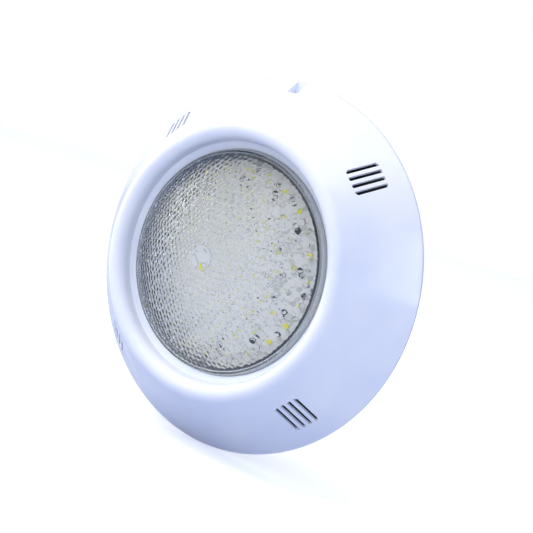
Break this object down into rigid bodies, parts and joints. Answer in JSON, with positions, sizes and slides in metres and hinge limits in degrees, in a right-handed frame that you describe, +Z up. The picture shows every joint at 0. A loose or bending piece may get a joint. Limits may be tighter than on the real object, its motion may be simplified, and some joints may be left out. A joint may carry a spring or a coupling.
{
  "type": "surface-mounted underwater pool light",
  "caption": "Round underwater pool light: a vented white bezel round a domed pebbled clear lens over a board of LEDs, twisted onto a wall bracket by a bayonet.",
  "frame": {"origin": "centre of the wall bracket's back face, which lies on the wall", "axes": "-Y out of the wall towards the pool, +Z up, +X to the right as seen from the wall's pool side"},
  "size_m": [0.29, 0.0685, 0.29],
  "materials": {
    "board_retaining_ring": "black moulded ring",
    "board_screws": "stainless pan-head screws",
    "bridge_rectifier": "black epoxy package",
    "driver_board": "green solder mask on glass fibre",
    "driver_board_screws": "stainless pan-head screws",
    "face_ring": "injection-moulded gloss white ABS",
    "gland_body": "black nylon",
    "gland_nut": "black nylon",
    "gland_seal": "black rubber sleeve",
    "gland_thrust_ring": "natural nylon ring",
    "gland_washer": "black rubber washer",
    "inductor": "coated ferrite toroid",
    "lamp_housing": "white glass-filled plastic, satin",
    "lead_wires": "silicone-insulated wire",
    "led_board": "aluminium core board, white solder mask",
    "led_packages": "white moulded LED package",
    "led_phosphors": "yellow phosphor in silicone",
    "lens": "clear moulded polycarbonate, pebbled inside the rim",
    "lens_gasket": "translucent white silicone seal",
    "regulator_chips": "black epoxy chip package",
    "resistors": "dark chip resistors",
    "ring_screws": "stainless pan-head screws",
    "smoothing_capacitors": "dark sleeve on an aluminium can",
    "terminal_block": "blue moulded terminal block",
    "terminal_screws": "zinc-plated screws",
    "wall_bracket": "slate grey ABS, satin"
  },
  "bodies": {
    "bracket": {"wall_bracket": "wall_bracket"},
    "lamp": {"board_retaining_ring": "board_retaining_ring", "board_screws": "board_screws", "bridge_rectifier": "bridge_rectifier", "driver_board": "driver_board", "driver_board_screws": "driver_board_screws", "face_ring": "face_ring", "gland_body": "gland_body", "gland_seal": "gland_seal", "gland_washer": "gland_washer", "inductor": "inductor", "lamp_housing": "lamp_housing", "lead_wires": "lead_wires", "led_board": "led_board", "led_packages": "led_packages", "led_phosphors": "led_phosphors", "lens": "lens", "lens_gasket": "lens_gasket", "regulator_chips": "regulator_chips", "resistors": "resistors", "ring_screws": "ring_screws", "smoothing_capacitors": "smoothing_capacitors", "terminal_block": "terminal_block", "terminal_screws": "terminal_screws"},
    "gland_clamp": {"gland_thrust_ring": "gland_thrust_ring"},
    "gland_nut": {"gland_nut": "gland_nut"}
  },
  "joints": [
    {"name": "bayonet_turn", "type": "hinge", "parent": "bracket", "child": "lamp", "pos_m": [0, 0, 0], "axis": [0, -1, 0], "range_deg": [0, 30]},
    {"name": "gland_clamp_slide", "type": "slide", "parent": "lamp", "child": "gland_clamp", "axis": [-0.5446, 0, -0.8387], "range_m": [0, 0.0031]},
    {"name": "gland_nut_turn", "type": "hinge", "parent": "gland_clamp", "child": "gland_nut", "pos_m": [-0.04793, -0.0137, -0.0738], "axis": [-0.5446, 0, -0.8387], "range_deg": [0, 720]}
  ],
  "couplings": [
    {"joint": "gland_clamp_slide", "follows": "gland_nut_turn", "m_per_rad": 0.00023873}
  ]
}
